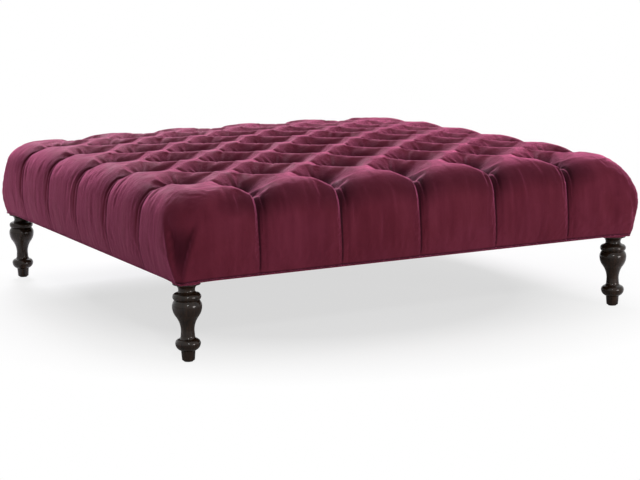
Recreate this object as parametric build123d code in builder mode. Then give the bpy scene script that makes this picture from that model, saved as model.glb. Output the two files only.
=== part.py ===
# Square ottoman with a deep-tufted velvet top on four turned legs.
# Millimetres, +Z up, origin on the floor under the centre, front towards -Y.
import os
from math import sqrt

from build123d import *

os.makedirs("parts", exist_ok=True)

# Whole ottoman
base_side = 1219.2
cushion_height = 228.5
tuft_spacing = 203.2
tufts_in_row = 5
overrun = 20.0

# Outline of the cushion
side_bulge = 15.0
bulge_height = 82.0
shoulder_height = 137.0
shoulder_lean = 4.0
shoulder_reach = 78.0
crown_rise = 22.0
base_corner_trim = 3.0
corner_trim = 18.0
corner_shoulder_height = 122.0
corner_shoulder_reach = 96.0
corner_crown_fall = 15.0

# Valleys, tufts, pleats and darts in the cushion
valley_depth = 33.0
crest_width = 8.0
tuft_mouth_radius = 60.0
tuft_floor_radius = 13.0
tuft_depth = 73.0
pleat_width = 13.0
pleat_depth = 11.0
dart_width = 10.0
dart_depth = 8.0
dart_reach = 50.0
fold_at_foot = 1.0
cutter_mouth = 5.0

# Soft layers
cover_at_rail = 2.0
cover_under_tuft = 6.0
side_pad_thickness = 10.0
wrap_thickness = 3.0
wrap_corner_radius = 8.0
foam_thickness = 101.6
foam_shoulder_radius = 66.0
foam_hole_radius = 30.0

# Frame
post_side = 60.0
rail_thickness = 22.0
rail_height = 68.5
deck_thickness = 12.0
brace_thickness = 22.0
brace_height = 50.0
dowel_radius = 5.0
dowel_length = 60.0
dowel_spacing = 36.0
screw_radius = 2.0
screw_head_radius = 4.5
screw_head_height = 3.0
rail_screw_length = 60.0
deck_screw_length = 40.0
screws_per_side = 6
screws_per_brace = 5

# Underside
band_thickness = 3.5
band_width = 42.0
dust_cover_thickness = 0.8
dust_cover_inset = 12.0
staple_width = 10.0
staple_wire = 1.0
staple_leg = 10.0
staples_per_side = 10

# Tuft buttons and what holds them
button_radius = 11.0
button_edge = 2.5
button_height = 7.0
twine_radius = 1.25
twine_hole_radius = 1.6
deck_hole_radius = 3.0
clip_radius = 12.0
clip_thickness = 3.0
knot_radius = 3.5

# Turned leg
leg_inset = 32.0
toe_radius = 14.5
toe_round = 3.0
foot_top_radius = 16.0
foot_height = 22.0
bead_step_height = 3.0
bead_step_radius = 20.8
bead_radius = 28.4
bead_rise = 17.0
bead_fall = 17.0
waist_radius = 15.1
shaft_height = 12.0
bulb_radius = 33.4
bulb_rise = 55.0
bulb_fall = 14.0
groove_radius = 27.5
ring_radius = 32.0
ring_height = 15.0
neck_radius = 18.6
neck_step_radius = 22.0
neck_step_height = 2.0
neck_height = 15.0
flange_radius = 31.0
flange_edge = 2.0
flange_height = 7.0
inflection_share = 0.58
bead_turn_share = 0.57

# What fastens a leg
tuck_thickness = 4.5
tuck_radius = 32.5
tuck_clearance = 3.0
bolt_radius = 4.0
bolt_in_leg = 40.0
bolt_in_post = 35.0
nut_radius = 5.5
nut_flange_radius = 11.0
nut_flange_thickness = 1.5
nut_length = 14.0
glide_radius = 10.0
glide_thickness = 2.0
glide_nail_radius = 1.5
glide_nail_length = 15.0

# Levels above the floor
leg_height = (
    foot_height + bead_rise + bead_fall + shaft_height + bulb_rise + bulb_fall
    + ring_height + neck_height + flange_height
)
leg_top = glide_thickness + leg_height
base_level = leg_top + tuck_thickness
frame_level = base_level + band_thickness
rail_top = frame_level + rail_height
deck_top = rail_top + deck_thickness
foam_top = deck_top + foam_thickness
wrap_top = foam_top + wrap_thickness
crown_level = base_level + cushion_height
tuft_floor_level = crown_level - tuft_depth

# Places worked out from the sizes above
base_half = base_side / 2
wrap_half = base_half - cover_at_rail
core_half = wrap_half - wrap_thickness
frame_half = core_half - side_pad_thickness
frame_side = 2 * frame_half
leg_axis = base_half - leg_inset
post_axis = frame_half - post_side / 2
rail_length = frame_side - 2 * post_side
rail_axis = frame_half - rail_thickness / 2
half_step = tuft_spacing / 2
brace_axis = 3 * half_step / 2
quarter_turns = (0, 90, 180, 270)
corner_signs = {
    "front_left": (-1, -1),
    "front_right": (1, -1),
    "back_left": (-1, 1),
    "back_right": (1, 1),
}
side_turns = {"front": 0, "right": 90, "back": 180, "left": 270}
tuft_places = [
    (column * half_step, row * half_step)
    for column in range(-tufts_in_row, tufts_in_row + 1)
    for row in range(-tufts_in_row, tufts_in_row + 1)
    if (column + row) % 2
]
leg_places = [(sx * leg_axis, sy * leg_axis) for sx, sy in corner_signs.values()]


def save(part, name):
    part.label = name
    export_step(part, "parts/" + name + ".step")


# An upright plane through the axis: its x runs across, its y is up
def upright_plane(turn):
    across = Vector(1, 0, 0).rotate(Axis.Z, turn)
    facing = Vector(0, -1, 0).rotate(Axis.Z, turn)
    return Plane(origin=(0, 0, 0), x_dir=across, z_dir=facing)


# Cushion outline seen from the side: drawn-in foot, belly, flank and rim of the crown
belly_half = base_half + side_bulge
foot = (base_half, frame_level)
belly = (belly_half, base_level + bulge_height)
flank = (belly_half - shoulder_lean, base_level + shoulder_height)
rim = (belly_half - shoulder_reach, crown_level - crown_rise)
with BuildSketch() as cushion_section:
    with BuildLine():
        side = TangentArc(belly, foot, tangent=(0, -1))
        lean = TangentArc(belly, flank, tangent=(0, 1))
        TangentArc(flank, rim, tangent=lean % 1)
        ThreePointArc(rim, (0, crown_level), (-rim[0], rim[1]))
        mirror(about=Plane.YZ)
        Line(foot, (-foot[0], foot[1]))
    make_face()

# The same outline seen across a corner, which is drawn in a little more
corner_foot = (base_half * sqrt(2) - base_corner_trim, frame_level)
corner_belly = (belly_half * sqrt(2) - corner_trim, base_level + bulge_height)
corner_flank = (corner_belly[0], base_level + corner_shoulder_height)
corner_rim = (corner_belly[0] - corner_shoulder_reach, crown_level - corner_crown_fall)
with BuildSketch() as corner_section:
    with BuildLine():
        TangentArc(corner_belly, corner_foot, tangent=(0, -1))
        Line(corner_belly, corner_flank)
        TangentArc(corner_flank, corner_rim, tangent=(0, 1))
        mirror(about=Plane.YZ)
        Line(corner_foot, (-corner_foot[0], corner_foot[1]))
        ThreePointArc(corner_rim, (0, crown_level + overrun), (-corner_rim[0], corner_rim[1]))
    make_face()

# Cutters for the straight valleys that join the tufts, one pillow's flank on each side
valley_pitch = tuft_spacing / sqrt(2)
pillow_half = (valley_pitch - crest_width) / 2
with BuildSketch() as valley_section:
    with BuildLine():
        TangentArc(
            (pillow_half, crown_level), (0, crown_level - valley_depth), tangent=(-1, 0)
        )
        Line((pillow_half, crown_level), (pillow_half, crown_level + overrun))
        mirror(about=Plane.YZ)
        Line(
            (pillow_half, crown_level + overrun), (-pillow_half, crown_level + overrun)
        )
    make_face()
valley_cutters = []
for turn in (45, 135):
    for line in range(1 - 2 * tufts_in_row, 2 * tufts_in_row, 2):
        shift = Vector(line * valley_pitch / 2, 0, 0).rotate(Axis.Z, turn)
        reach = (2 * tufts_in_row - abs(line)) * valley_pitch / 2
        face = upright_plane(turn).shift_origin(shift) * valley_section.sketch
        valley_cutters.append(extrude(face, reach, both=True))

# Cutters for the funnels at the tufts, flat at the bottom where a button sits
funnel_neck = crown_level - tuft_mouth_radius + tuft_floor_radius
with BuildPart() as funnel:
    with BuildSketch(Plane.XZ):
        with BuildLine():
            TangentArc(
                (tuft_mouth_radius, crown_level),
                (tuft_floor_radius, funnel_neck),
                tangent=(-1, 0),
            )
            Polyline(
                (tuft_floor_radius, funnel_neck),
                (tuft_floor_radius, tuft_floor_level),
                (0, tuft_floor_level),
                (0, crown_level + overrun),
                (tuft_mouth_radius, crown_level + overrun),
                (tuft_mouth_radius, crown_level),
            )
        make_face()
    revolve(axis=Axis.Z)
tuft_cutters = [Pos(x, y, 0) * funnel.part for x, y in tuft_places]


# Section of a folded groove: a V as deep as the fold, open past the surface
def fold_section(width, depth):
    half_mouth = width / 2 * (depth + cutter_mouth) / depth
    with BuildSketch() as section:
        with BuildLine():
            Polyline(
                (-half_mouth, cutter_mouth),
                (half_mouth, cutter_mouth),
                (0, -depth),
                close=True,
            )
        make_face()
    return section.sketch


# Cutters for the pleats from the outer tufts over the shoulder, shallow at the foot
with BuildPart() as pleat:
    with BuildLine(Plane.YZ) as pleat_route:
        pleat_lean = TangentArc(belly, flank, tangent=(0, 1))
        TangentArc(
            belly, (base_half + pleat_depth - fold_at_foot, frame_level), tangent=(0, -1)
        )
        TangentArc(flank, rim, tangent=pleat_lean % 1)
    with BuildSketch(Plane(origin=(0, *rim), x_dir=(1, 0, 0), z_dir=(0, 1, 0))):
        add(fold_section(pleat_width, pleat_depth))
    sweep(path=pleat_route.line)
pleat_cutters = [
    Rot(0, 0, turn) * Pos(row * half_step, 0, 0) * pleat.part
    for turn in quarter_turns
    for row in range(1 - tufts_in_row, tufts_in_row, 2)
]

# Cutters for the two darts that meet at the foot of each corner
dart_top = flank[0] - dart_reach
with BuildPart() as dart:
    with BuildLine() as dart_route:
        ThreePointArc(
            (base_half - dart_width, base_half + dart_depth - fold_at_foot, frame_level),
            ((base_half + dart_top) / 2, belly[0], belly[1]),
            (dart_top, flank[0], flank[1]),
        )
    dart_start = dart_route.line % 0
    with BuildSketch(
        Plane(
            origin=dart_route.line @ 0,
            x_dir=dart_start.cross(Vector(0, 1, 0)),
            z_dir=dart_start,
        )
    ):
        add(fold_section(dart_width, dart_depth))
    sweep(path=dart_route.line)
dart_cutters = [
    Rot(0, 0, turn) * cutter
    for turn in quarter_turns
    for cutter in (dart.part, mirror(dart.part, about=Plane.YZ))
]


# Fastener shapes, each standing at the origin with its head up
def wood_screw(length):
    with BuildPart() as screw:
        with BuildSketch(Plane.XZ):
            with BuildLine():
                Polyline(
                    (0, 0),
                    (screw_head_radius, 0),
                    (screw_radius, -screw_head_height),
                    (screw_radius, -length),
                    (0, -length),
                    close=True,
                )
            make_face()
        revolve(axis=Axis.Z)
    return screw.part


# Dowels that join the rails to the corner posts, two at each joint
dowel_levels = [
    frame_level + rail_height / 2 + step * dowel_spacing / 2 for step in (-1, 1)
]
with BuildPart() as frame_dowels:
    with PolarLocations(0, len(quarter_turns)):
        with Locations(
            *[(end * rail_length / 2, -rail_axis, z) for end in (-1, 1) for z in dowel_levels]
        ):
            Cylinder(dowel_radius, dowel_length, rotation=(0, 90, 0))
save(frame_dowels.part, "frame_dowels")

# Screws through the front and back rails into the ends of the braces
brace_screw_levels = [rail_top - brace_height * share for share in (1 / 4, 3 / 4)]
end_screw = wood_screw(rail_screw_length)
brace_screws = Compound(
    [
        Rot(0, 0, turn) * Pos(side * brace_axis, -frame_half, z) * Rot(90, 0, 0) * end_screw
        for turn in (0, 180)
        for side in (-1, 1)
        for z in brace_screw_levels
    ]
)
save(brace_screws, "brace_screws")

# Screws that hold the deck down on the rails and braces
deck_screw = wood_screw(deck_screw_length)
rail_screw_step = rail_length / screws_per_side
brace_screw_step = 2 * (frame_half - rail_thickness) / screws_per_brace
rail_screw_places = [
    ((index + 0.5 - screws_per_side / 2) * rail_screw_step, -rail_axis)
    for index in range(screws_per_side)
]
brace_screw_places = [
    (side * brace_axis, (index + 0.5 - screws_per_brace / 2) * brace_screw_step)
    for side in (-1, 1)
    for index in range(screws_per_brace)
]
deck_screws = Compound(
    [
        Rot(0, 0, turn) * Pos(x, y, deck_top) * deck_screw
        for turn in quarter_turns
        for x, y in rail_screw_places
    ]
    + [Pos(x, y, deck_top) * deck_screw for x, y in brace_screw_places]
)
save(deck_screws, "deck_screws")

# Staples under the edge, through the dust cover and the band into the rails
staple_level = base_level - dust_cover_thickness
staple_step = rail_length / staples_per_side
with BuildPart() as staple:
    with Locations((0, 0, -staple_wire / 2)):
        Box(staple_width, staple_wire, staple_wire)
    with Locations(
        *[(end * (staple_width - staple_wire) / 2, 0, staple_leg / 2) for end in (-1, 1)]
    ):
        Box(staple_wire, staple_wire, staple_leg)
edge_staples = Compound(
    [
        Rot(0, 0, turn)
        * Pos((index + 0.5 - staples_per_side / 2) * staple_step, -rail_axis, staple_level)
        * staple.part
        for turn in quarter_turns
        for index in range(staples_per_side)
    ]
)
save(edge_staples, "edge_staples")

# A hanger bolt and a flanged nut hold each leg
bolt_bottom = leg_top - bolt_in_leg
with BuildPart() as leg_bolts:
    with Locations(*[(x, y, bolt_bottom) for x, y in leg_places]):
        Cylinder(
            bolt_radius,
            frame_level + bolt_in_post - bolt_bottom,
            align=(Align.CENTER, Align.CENTER, Align.MIN),
        )
save(leg_bolts.part, "leg_bolts")

with BuildPart() as leg_nut:
    with Locations((0, 0, frame_level)):
        Cylinder(nut_radius, nut_length, align=(Align.CENTER, Align.CENTER, Align.MIN))
        Cylinder(
            nut_flange_radius,
            nut_flange_thickness,
            align=(Align.CENTER, Align.CENTER, Align.MIN),
        )
        Cylinder(
            bolt_radius,
            nut_length,
            align=(Align.CENTER, Align.CENTER, Align.MIN),
            mode=Mode.SUBTRACT,
        )
leg_nuts = Compound([Pos(x, y, 0) * leg_nut.part for x, y in leg_places])
save(leg_nuts, "leg_nuts")


# Corner posts, which carry the legs and take the ends of the rails
for corner, (sx, sy) in corner_signs.items():
    with BuildPart() as post:
        with Locations((sx * post_axis, sy * post_axis, frame_level + rail_height / 2)):
            Box(post_side, post_side, rail_height)
        add([frame_dowels.part, leg_bolts.part, leg_nuts], mode=Mode.SUBTRACT)
    save(post.part, "corner_post_" + corner)

# Rails between the posts
for side, turn in side_turns.items():
    centre = Vector(0, -rail_axis, frame_level + rail_height / 2).rotate(Axis.Z, turn)
    with BuildPart() as rail:
        with Locations(Location(centre, (0, 0, turn))):
            Box(rail_length, rail_thickness, rail_height)
        add([frame_dowels.part, brace_screws, deck_screws, edge_staples], mode=Mode.SUBTRACT)
    save(rail.part, side + "_rail")

# Two braces from the front rail to the back rail, between rows of tufts
for side, sign in (("left", -1), ("right", 1)):
    with BuildPart() as brace:
        with Locations((sign * brace_axis, 0, rail_top - brace_height / 2)):
            Box(brace_thickness, 2 * (frame_half - rail_thickness), brace_height)
        add([brace_screws, deck_screws], mode=Mode.SUBTRACT)
    save(brace.part, side + "_brace")

# Deck panel with a hole under every tuft
with BuildPart() as deck_panel:
    with Locations((0, 0, (rail_top + deck_top) / 2)):
        Box(frame_side, frame_side, deck_thickness)
    with Locations(*[(x, y, deck_top) for x, y in tuft_places]):
        Hole(deck_hole_radius)
    add(deck_screws, mode=Mode.SUBTRACT)
save(deck_panel.part, "deck_panel")

# Foam strips on the outer faces of the frame
pad_height = deck_top - frame_level
for side, turn in side_turns.items():
    across = frame_half + side_pad_thickness * (turn in (0, 180))
    centre = Vector(0, -frame_half - side_pad_thickness / 2, frame_level + pad_height / 2)
    with BuildPart() as pad:
        with Locations(Location(centre.rotate(Axis.Z, turn), (0, 0, turn))):
            Box(2 * across, side_pad_thickness, pad_height)
    save(pad.part, side + "_side_pad")

# Foam core with rounded shoulders and a hole at every tuft
with BuildSketch() as core_section:
    with Locations((0, deck_top)):
        Rectangle(2 * core_half, foam_thickness, align=(Align.CENTER, Align.MIN))
    fillet(core_section.vertices().group_by(Axis.Y)[-1], foam_shoulder_radius)
with BuildPart() as foam_core:
    with BuildSketch(upright_plane(0)):
        add(core_section.sketch)
    extrude(amount=core_half, both=True)
    with BuildSketch(upright_plane(90)):
        add(core_section.sketch)
    extrude(amount=core_half, both=True, mode=Mode.INTERSECT)
    with Locations(*[(x, y, foam_top) for x, y in tuft_places]):
        Hole(foam_hole_radius)
save(foam_core.part, "foam_core")

# Outside of the fibre wrap, which lies over the foam and down the sides of the frame
with BuildSketch() as wrap_section:
    with Locations((0, frame_level)):
        Rectangle(2 * wrap_half, wrap_top - frame_level, align=(Align.CENTER, Align.MIN))
    fillet(
        wrap_section.vertices().group_by(Axis.Y)[-1], foam_shoulder_radius + wrap_thickness
    )
with BuildPart() as wrap_block:
    with BuildSketch(Plane.XY.offset(frame_level)):
        RectangleRounded(2 * wrap_half, 2 * wrap_half, wrap_corner_radius)
    extrude(amount=wrap_top - frame_level)
    for turn in (0, 90):
        with BuildSketch(upright_plane(turn)):
            add(wrap_section.sketch)
        extrude(amount=wrap_half, both=True, mode=Mode.INTERSECT)

# Fibre wrap, open over each hole in the foam
with BuildPart() as fibre_wrap:
    add(wrap_block.part)
    with Locations((0, 0, (frame_level + deck_top) / 2)):
        Box(2 * core_half, 2 * core_half, pad_height, mode=Mode.SUBTRACT)
    with Locations(*[(x, y, wrap_top) for x, y in tuft_places]):
        Cylinder(
            foam_hole_radius,
            wrap_top - deck_top,
            align=(Align.CENTER, Align.CENTER, Align.MAX),
            mode=Mode.SUBTRACT,
        )
    add(foam_core.part, mode=Mode.SUBTRACT)
save(fibre_wrap.part, "fibre_wrap")

# Room for the wrap inside the cover, which reaches down into each hole in the foam
plug_level = tuft_floor_level - cover_under_tuft
with BuildPart() as cover_room:
    add(wrap_block.part)
    with Locations(*[(x, y, plug_level) for x, y in tuft_places]):
        Cylinder(
            foam_hole_radius,
            foam_thickness,
            align=(Align.CENTER, Align.CENTER, Align.MIN),
            mode=Mode.SUBTRACT,
        )

# Velvet cover with the filling of its pillows, tufted and pleated
with BuildPart() as velvet_cover:
    with BuildSketch(upright_plane(0)):
        add(cushion_section.sketch)
    extrude(amount=base_side, both=True)
    with BuildSketch(upright_plane(90)):
        add(cushion_section.sketch)
    extrude(amount=base_side, both=True, mode=Mode.INTERSECT)
    for turn in (45, 135):
        with BuildSketch(upright_plane(turn)):
            add(corner_section.sketch)
        extrude(amount=base_side, both=True, mode=Mode.INTERSECT)
    add(valley_cutters + tuft_cutters + pleat_cutters + dart_cutters, mode=Mode.SUBTRACT)
    add(cover_room.part, mode=Mode.SUBTRACT)
    with Locations(*[(x, y, tuft_floor_level) for x, y in tuft_places]):
        Cylinder(twine_hole_radius, 3 * cover_under_tuft, mode=Mode.SUBTRACT)
save(velvet_cover.part, "velvet_cover")

# Velvet-wrapped band round the bottom edge, under the frame
with BuildPart() as edge_band:
    with BuildSketch(Plane.XY.offset(base_level)):
        RectangleRounded(base_side, base_side, base_corner_trim / (sqrt(2) - 1))
        Rectangle(base_side - 2 * band_width, base_side - 2 * band_width, mode=Mode.SUBTRACT)
    extrude(amount=band_thickness)
    add([leg_bolts.part, edge_staples], mode=Mode.SUBTRACT)
save(edge_band.part, "edge_band")

# Dust cover under the frame, cut round at the legs
with BuildPart() as dust_cover:
    with BuildSketch(Plane.XY.offset(base_level - dust_cover_thickness)):
        Rectangle(base_side - 2 * dust_cover_inset, base_side - 2 * dust_cover_inset)
        with Locations(*leg_places):
            Circle(tuck_radius + tuck_clearance, mode=Mode.SUBTRACT)
    extrude(amount=dust_cover_thickness)
    add(edge_staples, mode=Mode.SUBTRACT)
save(dust_cover.part, "dust_cover")

# Covered buttons at the bottoms of the tufts
with BuildPart() as button:
    with BuildSketch(Plane.XZ):
        with BuildLine():
            Line((0, 0), (button_radius, 0))
            Line((button_radius, 0), (button_radius, button_edge))
            dome = TangentArc((0, button_height), (button_radius, button_edge), tangent=(1, 0))
            Line(dome @ 0, (0, 0))
        make_face()
    revolve(axis=Axis.Z)
tuft_buttons = Compound([Pos(x, y, tuft_floor_level) * button.part for x, y in tuft_places])
save(tuft_buttons, "tuft_buttons")

# Clips under the deck
with BuildPart() as clip:
    with Locations((0, 0, rail_top)):
        Cylinder(clip_radius, clip_thickness, align=(Align.CENTER, Align.CENTER, Align.MAX))
        Hole(twine_hole_radius)
twine_clips = Compound([Pos(x, y, 0) * clip.part for x, y in tuft_places])
save(twine_clips, "twine_clips")

# Twines from the buttons down to a knot under each clip
knot_level = rail_top - clip_thickness - knot_radius
with BuildPart() as twine:
    with Locations((0, 0, knot_level)):
        Sphere(knot_radius)
        Cylinder(
            twine_radius,
            tuft_floor_level - knot_level,
            align=(Align.CENTER, Align.CENTER, Align.MIN),
        )
tuft_twines = Compound([Pos(x, y, 0) * twine.part for x, y in tuft_places])
save(tuft_twines, "tuft_twines")

# Folded cloth between the band and the leg flanges
with BuildPart() as tuck:
    with Locations((0, 0, leg_top)):
        Cylinder(tuck_radius, tuck_thickness, align=(Align.CENTER, Align.CENTER, Align.MIN))
    fillet(tuck.edges(), tuck_thickness / 3)
    with Locations((0, 0, base_level)):
        Hole(bolt_radius)
corner_tucks = Compound([Pos(x, y, 0) * tuck.part for x, y in leg_places])
save(corner_tucks, "corner_tucks")

# Glides, each a disc with a nail up into the leg
with BuildPart() as glide:
    Cylinder(glide_radius, glide_thickness, align=(Align.CENTER, Align.CENTER, Align.MIN))
    with Locations((0, 0, glide_thickness)):
        Cylinder(
            glide_nail_radius,
            glide_nail_length,
            align=(Align.CENTER, Align.CENTER, Align.MIN),
        )
glides = Compound([Pos(x, y, 0) * glide.part for x, y in leg_places])
save(glides, "leg_glides")

# Turned leg, from the toe up: foot, bead, waist, bulb, ring, neck and flange
foot_end = foot_height
nose_level = foot_end + bead_rise
shaft_start = nose_level + bead_fall
waist_level = shaft_start + shaft_height
bulb_level = waist_level + bulb_rise
groove_level = bulb_level + bulb_fall
ring_top = groove_level + ring_height
neck_level = ring_top + neck_height / 2
bead_turn = (
    bead_radius + (foot_top_radius - bead_radius) * bead_turn_share,
    nose_level + bead_fall * bead_turn_share,
)
bulb_turn = (
    waist_radius + (bulb_radius - waist_radius) * inflection_share,
    waist_level + bulb_rise * inflection_share,
)
with BuildPart() as leg:
    with BuildSketch(Plane.XZ):
        with BuildLine():
            toe = TangentArc((toe_radius - toe_round, 0), (toe_radius, toe_round), tangent=(1, 0))
            Line(toe @ 1, (foot_top_radius, foot_end))
            step = Line(
                (foot_top_radius, foot_end), (bead_step_radius, foot_end + bead_step_height)
            )
            TangentArc((bead_radius, nose_level), step @ 1, tangent=(0, -1))
            bead = TangentArc((bead_radius, nose_level), bead_turn, tangent=(0, 1))
            fade = TangentArc(bead_turn, (foot_top_radius, shaft_start), tangent=bead % 1)
            Line(fade @ 1, (waist_radius, waist_level))
            vase = TangentArc((waist_radius, waist_level), bulb_turn, tangent=(0, 1))
            TangentArc(bulb_turn, (bulb_radius, bulb_level), tangent=vase % 1)
            TangentArc((bulb_radius, bulb_level), (groove_radius, groove_level), tangent=(0, 1))
            ThreePointArc(
                (groove_radius, groove_level),
                (ring_radius, groove_level + ring_height / 2),
                (groove_radius, ring_top),
            )
            under = Line(
                (groove_radius, ring_top), (neck_step_radius, ring_top + neck_step_height)
            )
            TangentArc((neck_radius, neck_level), under @ 1, tangent=(0, -1))
            cove = TangentArc(
                (neck_radius, neck_level),
                (flange_radius - flange_edge, leg_height - flange_edge),
                tangent=(0, 1),
            )
            Line(cove @ 1, (flange_radius, leg_height - flange_edge))
            Line((flange_radius, leg_height - flange_edge), (flange_radius, leg_height))
            Line((flange_radius, leg_height), (0, leg_height))
            Line((0, leg_height), (0, 0))
            Line((0, 0), toe @ 0)
        make_face()
    revolve(axis=Axis.Z)
for corner, (sx, sy) in corner_signs.items():
    with BuildPart() as placed_leg:
        add(Pos(sx * leg_axis, sy * leg_axis, glide_thickness) * leg.part)
        add([leg_bolts.part, glides], mode=Mode.SUBTRACT)
    save(placed_leg.part, "leg_" + corner)
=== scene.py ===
# Square tufted ottoman: its finishes and soft forms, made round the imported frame.
# Metres, +Z up, front towards -Y.
import math

import bpy
import numpy as np
from mathutils import Matrix, Vector


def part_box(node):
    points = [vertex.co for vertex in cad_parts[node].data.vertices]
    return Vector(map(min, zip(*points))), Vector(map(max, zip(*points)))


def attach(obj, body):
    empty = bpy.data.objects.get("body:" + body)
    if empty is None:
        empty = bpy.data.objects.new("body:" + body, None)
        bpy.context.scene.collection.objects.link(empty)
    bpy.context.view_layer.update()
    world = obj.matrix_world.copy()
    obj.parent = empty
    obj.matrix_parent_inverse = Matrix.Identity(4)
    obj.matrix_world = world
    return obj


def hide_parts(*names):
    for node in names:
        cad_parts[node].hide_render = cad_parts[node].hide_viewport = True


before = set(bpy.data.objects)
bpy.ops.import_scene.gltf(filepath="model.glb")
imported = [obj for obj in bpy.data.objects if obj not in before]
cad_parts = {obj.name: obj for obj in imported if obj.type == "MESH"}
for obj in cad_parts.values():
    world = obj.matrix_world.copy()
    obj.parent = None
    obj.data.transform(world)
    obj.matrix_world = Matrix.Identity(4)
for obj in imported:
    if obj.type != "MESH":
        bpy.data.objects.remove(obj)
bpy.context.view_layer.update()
MM = 0.001
SIDES = ("front", "right", "back", "left")
SOFT_PARTS = ["fibre_wrap", "foam_core"] + [side + "_side_pad" for side in SIDES]

# Sizes read from the frame
cover_low, cover_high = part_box("velvet_cover")
band_low, band_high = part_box("edge_band")
button_low, button_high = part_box("tuft_buttons")
tuck_low, tuck_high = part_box("corner_tucks")
leg_low, leg_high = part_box("leg_back_right")
BELLY_HALF = cover_high.x
BASE_HALF = band_high.x
CROWN = cover_high.z
FOOT = cover_low.z
LEG_PLACE = (leg_low.x + leg_high.x) / 2

# Outline of the cushion, as the frame has it
BELLY_RISE = 78.5 * MM
FLANK_RISE = 133.5 * MM
FLANK_LEAN = 4 * MM
SHOULDER_REACH = 78 * MM
CROWN_RISE = 22 * MM

# Fall of the corners, and how far the bottom edge hangs down there
CORNER_FALL = 9 * MM
FALL_RUN = 130 * MM
EDGE_DIP = 4.2 * MM
EDGE_DIP_REACH = 95 * MM
EDGE_DIP_RISE = 40 * MM

# Lattice of the tufts, and the cells of the cover's mesh on it
ROWS = 5
HALF_STEP = 101.6 * MM
STEP = 2 * HALF_STEP
ROW_HALF = ROWS * HALF_STEP
OUTER_PLEAT = (ROWS - 1) * HALF_STEP
CELLS = 30
CELL = HALF_STEP / CELLS
RIM_CELLS = 10
CELLS_ACROSS = 2 * (ROWS * CELLS + RIM_CELLS)
TOP_HALF = ROW_HALF + RIM_CELLS * CELL
RING_STEP = 3.6 * MM
LEAST_CORNER = CELL / CELLS

# Draw of the columns towards the tuft lines and pleats, and their spread at the corners
TOP_DRAW = 0.36
SIDE_DRAW = 0.5
DRAW_RUN = 80 * MM
LAST_DRAWN = 4.3 * HALF_STEP
SPREAD_START = 4.6 * HALF_STEP
PLEAT_SPREAD = 0.02

# Valleys between the pillows, with the powers of their slopes, and the funnels at the tufts
CRISP_VALLEY = 11 * MM
CRISP_POWERS = (3, 0.6)
SOFT_VALLEY = 3.5 * MM
SOFT_POWERS = (4, 0.7)
FUNNEL_START = 6 * MM
FUNNEL_RADIUS = 62 * MM
FUNNEL_STRETCH = 21 * MM
FUNNEL_POWER = 1.25
FUNNEL_COLUMNS = 4.9 * HALF_STEP
PIT_FLOOR = button_low.z + 7 * MM
BUTTON_WELL = 6.5 * MM
BUTTON_WELL_SPAN = (8 * MM, 17 * MM)
# Depth at which the painted shade of the folds and pits is full
PAINTED_SHADE_DEPTH = 46 * MM
KINDS_A_ROW = 12

# Fans of fine folds: directions in degrees; lengths and heights in mm, each middle and play;
# the groove beside a fold by its depth, distance and width
FAN_LEANS = (-52, -36, -20, -4, 12, 28)
FAN_MIDDLE = 135
FAN_SHIFT = 5
FAN_BEND = 0.3
FAN_BEND_REACH = 60 * MM
FAN_WIDTH = 1.9 * MM
FAN_WIDENING = 0.05
FAN_LENGTHS = (66, 18)
FAN_HEIGHTS = (3.0, 0.8)
FAN_START = (6 * MM, 22 * MM)
FAN_FADE = 0.4
FAN_GROOVE = (0.9, 1.7, 0.8)

# Pleats: depths and the reaches of both their slopes, at levels under the outer tufts
PLEAT_LEVELS = np.array([0, 25, 60, 100, 150, 205, 285]) * MM
PLEAT_DEPTHS = np.array([14.5, 27, 28, 19, 13, 8, 2]) * MM
NEAR_REACHES = np.array([22, 20, 14, 9, 7, 6, 6]) * MM
FAR_REACHES = np.array([46, 46, 40, 30, 24, 20, 20]) * MM
PLEAT_POWER = 1.2
PLEAT_START = 60 * MM
# For each side: its share of the deeper pull near the tufts, and of the depth further down
PLEAT_PULLS = np.array([1, 0.8, 0.35, 0.8])
PLEAT_PULL_SPAN = (60 * MM, 160 * MM)
PLEAT_LASTS = np.array([1, 0.9, 0.85, 0.62])
# For each side: the way its pleats fold over, and the way its columns run along X or Y
FOLD_SIGNS = np.array([1, -1, 1, -1])
COLUMN_SIGNS = np.array([1, 1, -1, -1])
BAY_SAG = 0.34
BAY_SAG_POWER = 2.2
WANDER = 2.5 * MM
WANDER_WAVES = (24, 31)
WANDER_SPAN = (20 * MM, 80 * MM)
WANDER_REACH = (12 * MM, 70 * MM)

# Lines along a form: size, place across it and width. The second fold and pleat edge shape the
# cloth; the crease, shoulder and seam lines only deepen the colour, as painted shade
SECOND_FOLD = (0.17, 15 * MM, 3.4 * MM)
PLEAT_EDGE = (-0.07, -10 * MM, 5 * MM)
PLEAT_CREASE_SHADE = (0.5, 1.5 * MM, 2.6 * MM)
CREASE_SHADE_RISE = 14 * MM
SHOULDER_SHADE = (0.3, 106 * MM, 46 * MM)
SHOULDER_SHADE_GAPS = (40 * MM, 150 * MM)
SEAM_SHADE = 0.75
SEAM_RISES = (6 * MM, 1 * MM)

# Wrinkles: ranges of the place in a bay by half steps, of the lean, and of the level, half
# length, width and height in mm; share of that height on each side
WRINKLE_SEED = 40
WRINKLES_A_BAY = 7
WRINKLE_RANGES = ((-0.8, 0.8), (-0.08, 0.08), (85, 200), (40, 85), (3.5, 7), (0.5, 1.5))
WRINKLING = (1, 1, 1, 0.4)
WRINKLE_GROOVE = (0.8, 1.5, 0.7)
WRINKLE_GAPS = (6 * MM, 34 * MM)

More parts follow.
